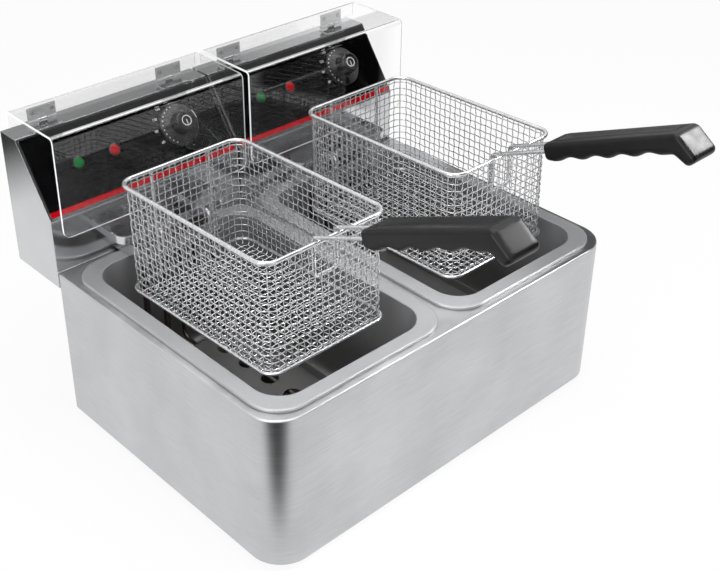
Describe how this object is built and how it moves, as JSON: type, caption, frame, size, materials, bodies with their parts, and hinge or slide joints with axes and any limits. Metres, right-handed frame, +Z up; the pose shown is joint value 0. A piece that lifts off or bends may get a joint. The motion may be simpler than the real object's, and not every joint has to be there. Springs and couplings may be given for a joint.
{
  "type": "deep fryer",
  "caption": "Countertop electric deep fryer with oil tanks side by side, lift-off control heads, hinged clear splash covers and wire baskets that hang over the tanks.",
  "frame": {"origin": "on the surface it stands on, below the middle of its whole box", "axes": "+X to the user's right, +Y from the user to the control heads at the back, +Z up"},
  "size_m": [0.56, 0.703, 0.469],
  "materials": {
    "brushed_steel": "brushed",
    "polished_steel": "polished",
    "chrome_wire": "bright",
    "element_steel": "satin",
    "switch_metal": "satin",
    "panel_black": "gloss",
    "black_plastic": "satin",
    "grip_black": "satin",
    "lens_green": "gloss",
    "lens_red": "gloss",
    "button_red": "gloss",
    "pale_plastic": "matt",
    "clear_sheet": "clear",
    "foot_rubber": "matt"
  },
  "bodies": {
    "fryer_body": {"outer_shell": "brushed_steel", "base_plate": "brushed_steel", "feet": "foot_rubber", "foot_screws": "polished_steel"},
    "tank_left": {"oil_tank_left": "brushed_steel"},
    "head_left": {"head_casing_left": "brushed_steel", "head_back_cover_left": "brushed_steel", "control_panel_left": "panel_black", "power_light_left": "lens_green", "heat_light_left": "lens_red", "thermostat_left": "switch_metal", "terminal_block_left": "pale_plastic", "high_limit_cutout_left": "pale_plastic", "cable_gland_left": "black_plastic", "basket_hanger_left": "polished_steel", "element_bracket_left": "brushed_steel", "heating_element_left": "element_steel", "thermostat_probe_left": "element_steel", "guard_plate_left": "brushed_steel", "hinge_fixed_leaves_left": "polished_steel", "hinge_pins_left": "polished_steel"},
    "knob_left": {"thermostat_knob_left": "black_plastic"},
    "cover_left": {"clear_cover_left": "clear_sheet", "hinge_moving_leaves_left": "polished_steel", "cover_screws_left": "polished_steel"},
    "basket_left": {"basket_mesh_left": "chrome_wire", "basket_frame_left": "chrome_wire", "basket_hooks_left": "chrome_wire", "handle_wire_left": "chrome_wire", "handle_grip_left": "grip_black"},
    "button_left": {"reset_button_left": "button_red"},
    "tank_right": {"oil_tank_right": "brushed_steel"},
    "head_right": {"head_casing_right": "brushed_steel", "head_back_cover_right": "brushed_steel", "control_panel_right": "panel_black", "power_light_right": "lens_green", "heat_light_right": "lens_red", "thermostat_right": "switch_metal", "terminal_block_right": "pale_plastic", "high_limit_cutout_right": "pale_plastic", "cable_gland_right": "black_plastic", "basket_hanger_right": "polished_steel", "element_bracket_right": "brushed_steel", "heating_element_right": "element_steel", "thermostat_probe_right": "element_steel", "guard_plate_right": "brushed_steel", "hinge_fixed_leaves_right": "polished_steel", "hinge_pins_right": "polished_steel"},
    "knob_right": {"thermostat_knob_right": "black_plastic"},
    "cover_right": {"clear_cover_right": "clear_sheet", "hinge_moving_leaves_right": "polished_steel", "cover_screws_right": "polished_steel"},
    "basket_right": {"basket_mesh_right": "chrome_wire", "basket_frame_right": "chrome_wire", "basket_hooks_right": "chrome_wire", "handle_wire_right": "chrome_wire", "handle_grip_right": "grip_black"},
    "button_right": {"reset_button_right": "button_red"}
  },
  "joints": [
    {"name": "tank_lift_left", "type": "slide", "parent": "fryer_body", "child": "tank_left", "axis": [0, 0, 1], "range_m": [0, 0.18]},
    {"name": "head_lift_left", "type": "slide", "parent": "tank_left", "child": "head_left", "axis": [0, 0, 1], "range_m": [0, 0.18]},
    {"name": "knob_turn_left", "type": "hinge", "parent": "head_left", "child": "knob_left", "pos_m": [-0.069, 0.27128, 0.32915], "axis": [0, 0.8141, -0.5807], "range_deg": [0, 270]},
    {"name": "cover_swing_left", "type": "hinge", "parent": "head_left", "child": "cover_left", "pos_m": [-0.141, 0.3138, 0.37317], "axis": [-1, 0, 0], "range_deg": [0, 92]},
    {"name": "basket_lift_left", "type": "slide", "parent": "head_left", "child": "basket_left", "axis": [0, 0, 1], "range_m": [0, 0.2]},
    {"name": "button_press_left", "type": "slide", "parent": "head_left", "child": "button_left", "axis": [0, -1, 0], "range_m": [0, 0.003], "stiffness_N_per_m": 300},
    {"name": "tank_lift_right", "type": "slide", "parent": "fryer_body", "child": "tank_right", "axis": [0, 0, 1], "range_m": [0, 0.18]},
    {"name": "head_lift_right", "type": "slide", "parent": "tank_right", "child": "head_right", "axis": [0, 0, 1], "range_m": [0, 0.18]},
    {"name": "knob_turn_right", "type": "hinge", "parent": "head_right", "child": "knob_right", "pos_m": [0.213, 0.27128, 0.32915], "axis": [0, 0.8141, -0.5807], "range_deg": [0, 270]},
    {"name": "cover_swing_right", "type": "hinge", "parent": "head_right", "child": "cover_right", "pos_m": [0.141, 0.3138, 0.37317], "axis": [-1, 0, 0], "range_deg": [0, 92]},
    {"name": "basket_lift_right", "type": "slide", "parent": "head_right", "child": "basket_right", "axis": [0, 0, 1], "range_m": [0, 0.2]},
    {"name": "button_press_right", "type": "slide", "parent": "head_right", "child": "button_right", "axis": [0, -1, 0], "range_m": [0, 0.003], "stiffness_N_per_m": 300}
  ]
}
